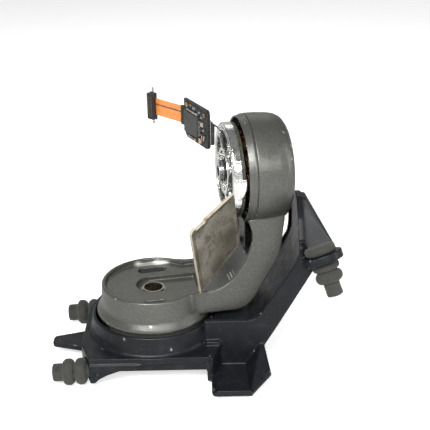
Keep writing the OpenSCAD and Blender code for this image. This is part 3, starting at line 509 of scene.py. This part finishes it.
def welded_mesh(node):
    """A copy of a CAD node's mesh as one closed skin."""
    shell = bmesh.new()
    shell.from_mesh(nodes[node].data)
    bmesh.ops.remove_doubles(shell, verts=shell.verts, dist=0.001 * MM)
    mesh = bpy.data.meshes.new(node + "_skin")
    shell.to_mesh(mesh)
    shell.free()
    return mesh


def with_modifiers(mesh, settings):
    """The mesh after a list of (modifier type, {setting: value})."""
    carrier = bpy.data.objects.new("carrier", mesh)
    bpy.context.scene.collection.objects.link(carrier)
    for kind, values in settings:
        modifier = carrier.modifiers.new(kind.lower(), kind)
        for key, value in values.items():
            setattr(modifier, key, value)
    shape = carrier.evaluated_get(bpy.context.evaluated_depsgraph_get())
    result = bpy.data.meshes.new_from_object(shape)
    bpy.data.objects.remove(carrier)
    return result


def soften(node, name, voxel, smoothing, keep, extra=()):
    """Replaces a node with a dense copy whose edges are rounded by about one voxel."""
    mesh = with_modifiers(welded_mesh(node), [
        *extra,
        ("REMESH", {"mode": "VOXEL", "voxel_size": voxel, "use_smooth_shade": True}),
        ("SMOOTH", {"factor": 0.5, "iterations": smoothing}),
        ("DECIMATE", {"ratio": keep}),
        ("SMOOTH", {"factor": 0.35, "iterations": 1}),
    ])
    mesh.materials.clear()
    for face in mesh.polygons:
        face.use_smooth = True
    return new_piece(name, mesh, body_of[node], slot_of[node], node)


def add_block(shell, low, high, material=0, bevel=0.08):
    """Adds a box with rounded edges, in millimetres, and gives its faces a material number."""
    size = Vector(high) - Vector(low)
    centre = (Vector(high) + Vector(low)) / 2
    place = Matrix.Translation(centre) @ Matrix.Diagonal((*size, 1))
    made = bmesh.ops.create_cube(shell, size=1, matrix=place)["verts"]
    edges = list({edge for vert in made for edge in vert.link_edges})
    cut = bmesh.ops.bevel(shell, geom=edges, offset=bevel, segments=2, affect="EDGES", profile=0.6)
    faces = set(cut["faces"]) | {face for vert in cut["verts"] for face in vert.link_faces}
    for face in faces:
        face.material_index = material


def mesh_from(shell, name, place, materials_used, smooth_angle=40):
    """Turns a millimetre bmesh into a metre mesh at its place."""
    bmesh.ops.transform(shell, matrix=place @ Matrix.Scale(MM, 4), verts=shell.verts)
    bmesh.ops.recalc_face_normals(shell, faces=shell.faces)
    mesh = bpy.data.meshes.new(name)
    shell.to_mesh(mesh)
    shell.free()
    for material in materials_used:
        mesh.materials.append(material)
    for face in mesh.polygons:
        face.use_smooth = True
    mesh.set_sharp_from_angle(angle=math.radians(smooth_angle))
    return mesh


# ---------------------------------------------------------------- castings and hub

def add_castings():
    soften("mount_bracket", "bracket_casting", 0.22 * MM, 5, 0.30)
    soften("yaw_arm", "arm_casting", 0.22 * MM, 5, 0.30)
    soften("roll_front_ring", "front_ring", 0.16 * MM, 3, 0.35)
    soften("roll_hub", "spoked_hub", 0.13 * MM, 2, 0.30)
    soften("cable_lug", "bent_lug", 0.10 * MM, 4, 0.5)


# ---------------------------------------------------------------- dampers

def slot_cutter(node):
    """A small block that cuts the locking notch near the outer end of a nose damper."""
    low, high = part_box(node)
    middle = (low + high) / 2
    shell = bmesh.new()
    add_block(shell, (-0.6, -0.8, -0.9), (0.6, 0.8, 0.9), bevel=0.15)
    place = Matrix.Translation((low.x + 1.6 * MM, middle.y - 1.5 * MM, middle.z + 2 * MM))
    cutter = bpy.data.objects.new(node + "_cutter", mesh_from(shell, "cutter", place, []))
    bpy.context.scene.collection.objects.link(cutter)
    return cutter


def add_dampers():
    for node in ("damper_nose_left", "damper_nose_right", "damper_tail"):
        ripple = bpy.data.textures.new(node + "_ripple", "CLOUDS")
        ripple.noise_scale = 1.6 * MM
        extra = []
        cutter = None
        if node != "damper_tail":
            cutter = slot_cutter(node)
            extra = [("BOOLEAN", {"object": cutter, "operation": "DIFFERENCE"})]
        piece = soften(node, node.replace("damper", "rubber"), 0.15 * MM, 3, 0.6, extra)
        if cutter:
            bpy.data.objects.remove(cutter)
        swell = piece.modifiers.new("ripple", "DISPLACE")
        swell.texture = ripple
        swell.texture_coords = "LOCAL"
        swell.strength = 0.16 * MM
        swell.mid_level = 0.55


# ---------------------------------------------------------------- stiffener plate

def flat_outline(node):
    """The outline of a flat CAD part and the frame of its outer face."""
    shell = bmesh.new()
    shell.from_mesh(welded_mesh(node))
    bmesh.ops.dissolve_limit(shell, angle_limit=math.radians(2), verts=shell.verts, edges=shell.edges)
    face = max(shell.faces, key=lambda f: f.calc_area() - f.normal.y * 1e-9)
    corners = [vert.co.copy() for vert in face.verts]
    z_axis = face.normal.copy()
    shell.free()
    x_axis = (corners[1] - corners[0]).normalized()
    y_axis = z_axis.cross(x_axis)
    place = Matrix((x_axis, y_axis, z_axis)).transposed().to_4x4()
    place.translation = corners[0]
    back = place.inverted()
    return [(back @ corner).to_2d() / MM for corner in corners], place


def rounded(corners, radius):
    """The outline with each corner swapped for a short curve, smaller where the sides are short."""
    points = []
    for i, corner in enumerate(corners):
        before = corners[i - 1] - corner
        after = corners[(i + 1) % len(corners)] - corner
        reach = min(radius, 0.3 * before.length, 0.3 * after.length)
        start = corner + before.normalized() * reach
        end = corner + after.normalized() * reach
        for step in range(5):
            t = step / 4
            points.append(start * (1 - t) ** 2 + corner * 2 * t * (1 - t) + end * t ** 2)
    return points


def inset(corners, distance):
    """The outline moved inwards; its inside lies to the left of its sides."""
    moved = []
    for i, corner in enumerate(corners):
        before = (corner - corners[i - 1]).normalized()
        after = (corners[(i + 1) % len(corners)] - corner).normalized()
        normal = Vector((-before.y - after.y, before.x + after.x)).normalized()
        lean = max(0.4, normal.dot(Vector((-after.y, after.x))))
        moved.append(corner + normal * distance / lean)
    return moved


def add_plate():
    """The loose stiffener: rounded corners, a softened rim and a scored border on each face."""
    corners, place = flat_outline("shield_plate")
    thickness = 0.9
    face_side, edge_side = 0, 1
    long_sides = [c for i, c in enumerate(corners)
                  if (c - corners[i - 1]).length > 2 or (c - corners[(i + 1) % len(corners)]).length > 2]
    border = inset(long_sides, 1.1)
    outline = rounded(corners, 0.6)
    shell = bmesh.new()

    def loop(points, height):
        return [shell.verts.new((point.x, point.y, height)) for point in points]

    def wall(first, second, material):
        for i, vert in enumerate(first):
            j = (i + 1) % len(first)
            shell.faces.new((vert, first[j], second[j], second[i])).material_index = material

    rims = []
    for height, pulled in ((0, 0.1), (-0.1, 0), (0.1 - thickness, 0), (-thickness, 0.1)):
        rims.append(loop(inset(outline, pulled), height))
    for first, second in zip(rims, rims[1:]):
        wall(first, second, edge_side)
    for rim, height, down in ((rims[0], 0, -1), (rims[-1], -thickness, 1)):
        groove = [loop(inset(rounded(border, 0.8), width), height + down * depth)
                  for width, depth in ((0, 0), (0.09, 0.06), (0.18, 0))]
        wall(groove[0], groove[1], face_side)
        wall(groove[1], groove[2], face_side)
        shell.faces.new(groove[2])
        shell.edges.ensure_lookup_table()
        edges = [shell.edges.get((ring[i - 1], ring[i]))
                 for ring in (rim, groove[0]) for i in range(len(ring))]
        bmesh.ops.triangle_fill(shell, edges=edges, use_beauty=True)
    used = [materials["plate_laminate"], edge_material]
    mesh = mesh_from(shell, "stiffener", place, used, 35)
    new_piece("stiffener_plate", mesh, "arm", "plate_laminate", "shield_plate")


# ---------------------------------------------------------------- films

def film_mesh(name, stations, thickness, across):
    """A closed film through stations of (centre, lower z, upper z), thick along across."""
    rows = 7
    shell = bmesh.new()
    sheets = []
    for side in (-0.5, 0.5):
        grid = []
        for centre, low, high in stations:
            column = [shell.verts.new(centre + across * side * thickness
                                      + Vector((0, 0, low + (high - low) * i / (rows - 1))))
                      for i in range(rows)]
            grid.append(column)
        sheets.append(grid)
    first, second = sheets
    last = len(stations) - 1
    for i in range(last):
        for j in range(rows - 1):
            shell.faces.new((first[i][j], first[i + 1][j], first[i + 1][j + 1], first[i][j + 1]))
            shell.faces.new((second[i][j], second[i][j + 1], second[i + 1][j + 1], second[i + 1][j]))
        for j in (0, rows - 1):
            shell.faces.new((first[i][j], second[i][j], second[i + 1][j], first[i + 1][j]))
    for i in (0, last):
        for j in range(rows - 1):
            shell.faces.new((first[i][j], first[i][j + 1], second[i][j + 1], second[i][j]))
    bmesh.ops.recalc_face_normals(shell, faces=shell.faces)
    mesh = bpy.data.meshes.new(name)
    shell.to_mesh(mesh)
    shell.free()
    for face in mesh.polygons:
        face.use_smooth = True
    mesh.set_sharp_from_angle(angle=math.radians(50))
    return mesh


def add_ribbon():
    """The amber ribbon, bowed a little into an S on either side of the connector's hinge."""
    hinge = joint_place("connector_swing")
    across = Vector((-ribbon_dir.y, ribbon_dir.x, 0))
    steps = 28
    bow = 0.35 * MM
    stations = []
    for i in range(steps + 1):
        t = -1 + 2 * i / steps
        centre = hinge + ribbon_dir * (RIBBON_HALF * t) + across * (bow * (1 - t * t) * t)
        stations.append((centre, -RIBBON_WIDTH / 2, RIBBON_WIDTH / 2))
    mesh = film_mesh("ribbon", stations, 0.2 * MM, across)
    piece = new_piece("flex_ribbon", mesh, None, "orange_film", "ribbon_board_end", "ribbon_connector_end")
    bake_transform(piece)


def add_lead():
    """The lead from the board's edge to the hub: a wide tab that narrows to a dropping strip."""
    hinge = joint_place("board_swing")
    hinge.z = 0
    along = arm_frame.to_3x3() @ Vector((1, 0, 0))
    across = arm_frame.to_3x3() @ Vector((0, 1, 0))
    # Distance from the bending line, lower and upper edge
    profile = [
        (-1.0, 53, 60.1), (-0.6, 53, 59.6), (-0.15, 53, 59.05), (0.02, 53.3, 58.95), (0.1, 58.35, 58.9),
        (0.6, 58, 58.5), (1.05, 57.6, 58.1), (1.45, 56.9, 57.4), (2.1, 56, 56.5), (3.1, 55, 55.5),
        (5.1, 54.15, 54.75),
    ]
    stations = [(hinge + along * (x * MM), low * MM, high * MM) for x, low, high in profile]
    mesh = film_mesh("lead", stations, 0.2 * MM, across)
    piece = new_piece("hub_lead", mesh, None, "black_film", "lead_board_end", "lead_hub_end")
    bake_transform(piece)


# ---------------------------------------------------------------- driver board parts

def add_chip():
    """Chip package with rounded edges and a pin-one dimple."""
    shell = bmesh.new()
    face = BOARD_THICKNESS
    add_block(shell, (5.6, face, 1.9), (13.8, face + 0.85, 8), bevel=0.12)
    dimple = Matrix.Translation((13, face + 0.86, 7.2)) @ Matrix.Rotation(math.pi / 2, 4, "X")
    bmesh.ops.create_cone(shell, cap_ends=True, segments=20, radius1=0.3, radius2=0.22, depth=0.04,
                          matrix=dimple)
    mesh = mesh_from(shell, "chip", board_frame, [materials["chip_resin"]])
    new_piece("chip_package", mesh, "board", "chip_resin", "driver_chip")


# Material numbers of the small board parts
TAN, BROWN, GREY, TINNED = range(4)


def add_small_part(shell, low, size, body_material):
    """Chip part: a ceramic body with a tinned cap at each end of its longer side."""
    x, z = low
    length, height = size
    face = BOARD_THICKNESS
    along_x = length >= height
    cap = 0.24 * (length if along_x else height)
    add_block(shell, (x + 0.02, face, z + 0.02), (x + length - 0.02, face + 0.5, z + height - 0.02),
              body_material)
    for start in (0, 1):
        if along_x:
            left = x + start * (length - cap)
            add_block(shell, (left, face, z), (left + cap, face + 0.55, z + height), TINNED)
        else:
            bottom = z + start * (height - cap)
            add_block(shell, (x, face, bottom), (x + length, face + 0.55, bottom + cap), TINNED)


def add_board_parts():
    """Small parts beside the chip, at the places that their CAD boxes hold."""
    face = BOARD_THICKNESS
    shell = bmesh.new()
    for low, size, kind in (
        ((2.2, 5.9), (1.5, 1.1), TAN), ((1.9, 4.7), (0.7, 0.6), GREY), ((1.7, 2.1), (1.6, 1.4), BROWN),
        ((4.0, 0.5), (1.1, 1.7), TAN), ((2.7, 8.1), (0.9, 0.7), GREY), ((4.1, 9.1), (0.9, 0.7), GREY),
        ((1.4, 8.9), (0.7, 1.0), BROWN), ((7.2, 9.4), (1.4, 0.8), GREY),
    ):
        add_small_part(shell, low, size, kind)
    for i in range(4):
        add_small_part(shell, (4.3, 2.8 + i * 1.15), (0.6, 0.85), GREY)
    for i in range(3):
        add_small_part(shell, (7 + i * 1.9, 0.5), (1.1, 0.7), (TAN, BROWN, GREY)[i])
    # Bright shield strip above the chip
    add_block(shell, (5.6, face, 8.3), (12.6, face + 0.6, 8.8), TINNED)
    used = [materials["component_mix"], ceramic_brown, ceramic_grey, tin]
    mesh = mesh_from(shell, "board_parts", board_frame, used)
    new_piece("board_small_parts", mesh, "board", "component_mix", "board_components")


def add_board_outline():
    """Solder-mask board with a milled, slightly rounded rim."""
    mesh = with_modifiers(welded_mesh("driver_board"), [
        ("BEVEL", {"width": 0.12 * MM, "segments": 2, "limit_method": "ANGLE",
                   "angle_limit": math.radians(40)}),
    ])
    mesh.materials.clear()
    new_piece("circuit_board", mesh, "board", "board_black", "driver_board")


# ---------------------------------------------------------------- roll motor winding

def add_coil_turns():
    """Wire turns laid over each coil of the roll motor, visible in the gap behind the hub."""
    teeth = 12
    turns = 7
    wire = 0.17
    half_w, half_h, corner = 1.72, 4.5, 0.7
    first_r, last_r = 9.55, 11.45
    middle = 8.6
    ring = 6
    path = []
    for cx, cy, start in ((1, 1, 0), (-1, 1, 90), (-1, -1, 180), (1, -1, 270)):
        for step in range(4):
            angle = math.radians(start + step * 30)
            path.append((cx * (half_w - corner) + corner * math.cos(angle),
                         cy * (half_h - corner) + corner * math.sin(angle)))
    shell = bmesh.new()
    for tooth in range(teeth):
        turn_frame = Matrix.Rotation(math.tau * tooth / teeth, 4, "Z")
        for turn in range(turns):
            radius = first_r + (last_r - first_r) * turn / (turns - 1)
            loops = []
            for u, v in path:
                outward = Vector((0, u, v)).normalized()
                loop = []
                for k in range(ring):
                    a = math.tau * k / ring
                    offset = outward * (wire * math.cos(a)) + Vector((wire * math.sin(a), 0, 0))
                    point = Vector((radius, u, v + middle)) + offset
                    loop.append(shell.verts.new(turn_frame @ point))
                loops.append(loop)
            for i, loop in enumerate(loops):
                following = loops[(i + 1) % len(loops)]
                for k in range(ring):
                    n = (k + 1) % ring
                    shell.faces.new((loop[k], following[k], following[n], loop[n]))
    mesh = mesh_from(shell, "coil_turns", roll_frame, [materials["copper_wire"]], 80)
    new_piece("roll_coil_turns", mesh, "hub", "copper_wire")


# ---------------------------------------------------------------- kept CAD nodes

def finish_kept_nodes():
    """Gives every CAD node its material, and rounds the edges of the small square ones."""
    rounded = {"connector_backer": 0.06, "connector_housing": 0.08, "connector_contacts": 0.03,
               "connector_brackets": 0.08, "ribbon_stiffener": 0.08, "board_pads": 0.03,
               "arm_flex": 0.06}
    own_material = {"connector_contacts": contact_metal}
    for name, node in nodes.items():
        node.data.materials.clear()
        node.data.materials.append(own_material.get(name, materials[slot_of[name]]))
        if name in rounded:
            weld = node.modifiers.new("weld", "WELD")
            weld.merge_threshold = 0.001 * MM
            bevel = node.modifiers.new("bevel", "BEVEL")
            bevel.width = rounded[name] * MM
            bevel.segments = 2
            bevel.limit_method = "ANGLE"
            bevel.angle_limit = math.radians(40)


# ---------------------------------------------------------------- studio

def add_camera():
    """Camera in front of the object and above it, a quarter of a metre away."""
    azimuth, elevation, roll = math.radians(-0.5), math.radians(23.4), math.radians(-0.9)
    place = Vector((15.99, -228.85, 133.11)) * MM
    frame_px, focal_px = 430, 900
    data = bpy.data.cameras.new("camera")
    data.sensor_width = 36
    data.lens = data.sensor_width * focal_px / frame_px
    data.clip_start = 0.01
    camera = bpy.data.objects.new("camera", data)
    back = Vector((math.sin(azimuth) * math.cos(elevation),
                   -math.cos(azimuth) * math.cos(elevation), math.sin(elevation)))
    camera.rotation_mode = "QUATERNION"
    turn = (-back).to_track_quat("-Z", "Y").to_matrix().to_4x4() @ Matrix.Rotation(roll, 4, "Z")
    camera.matrix_world = Matrix.Translation(place) @ turn
    bpy.context.scene.collection.objects.link(camera)
    bpy.context.scene.camera = camera


def add_light(name, place, target, size, power, colour=(1, 1, 1)):
    data = bpy.data.lights.new(name, "AREA")
    data.energy = power
    data.shape = "RECTANGLE"
    data.size, data.size_y = size
    data.color = colour
    light = bpy.data.objects.new(name, data)
    light.location = place
    light.rotation_euler = (Vector(target) - Vector(place)).to_track_quat("-Z", "Y").to_euler()
    bpy.context.scene.collection.objects.link(light)


def add_floor():
    bpy.ops.mesh.primitive_plane_add(size=1.6, location=(0, 0, cad_low.z - 0.02 * MM))
    floor = bpy.context.object
    floor.name = "floor"
    floor.data.materials.append(floor_paint())


def add_world():
    """White to the camera; to everything else a room whose grey depends on the height looked at."""
    world = bpy.data.worlds.new("studio")
    world.use_nodes = True
    bpy.context.scene.world = world
    tree = world.node_tree
    sky = tree.nodes["Background"]
    coordinates = tree.nodes.new("ShaderNodeTexCoord")
    split = tree.nodes.new("ShaderNodeSeparateXYZ")
    ramp = tree.nodes.new("ShaderNodeValToRGB")
    path = tree.nodes.new("ShaderNodeLightPath")
    choose = tree.nodes.new("ShaderNodeMix")
    choose.data_type = "RGBA"
    lift = tree.nodes.new("ShaderNodeMapRange")
    lift.inputs["From Min"].default_value = -1
    tree.links.new(coordinates.outputs["Generated"], split.inputs[0])
    tree.links.new(split.outputs["Z"], lift.inputs["Value"])
    tree.links.new(lift.outputs["Result"], ramp.inputs["Fac"])
    stops = ((0.0, 0.55), (0.49, 0.75), (0.56, 0.45), (0.68, 0.07), (1.0, 0.20))
    while len(ramp.color_ramp.elements) < len(stops):
        ramp.color_ramp.elements.new(0.5)
    for element, (position, grey) in zip(ramp.color_ramp.elements, stops):
        element.position = position
        element.color = (grey, grey, grey, 1)
    tree.links.new(path.outputs["Is Camera Ray"], choose.inputs[0])
    tree.links.new(ramp.outputs["Color"], choose.inputs[6])
    choose.inputs[7].default_value = (1, 1, 1, 1)
    tree.links.new(choose.outputs[2], sky.inputs["Color"])


def add_studio():
    """Pale floor, white surroundings that reflect as a darker, graded room, and soft lights."""
    add_floor()
    add_world()
    middle = (0.015, 0, 0.02)
    add_light("key", (-0.08, -0.30, 0.33), middle, (0.20, 0.16), 2.5)
    add_light("side", (0.42, -0.08, 0.20), middle, (0.10, 0.30), 0.5)
    add_light("front", (0.18, -0.38, 0.24), middle, (0.22, 0.08), 0.6)
    add_light("back", (-0.05, 0.40, 0.30), middle, (0.40, 0.15), 0.25)
    bpy.context.scene.view_settings.view_transform = "Standard"


# ---------------------------------------------------------------- build

finish_kept_nodes()
add_castings()
add_dampers()
add_plate()
add_ribbon()
add_lead()
add_board_outline()
add_chip()
add_board_parts()
add_coil_turns()
add_studio()
add_camera()
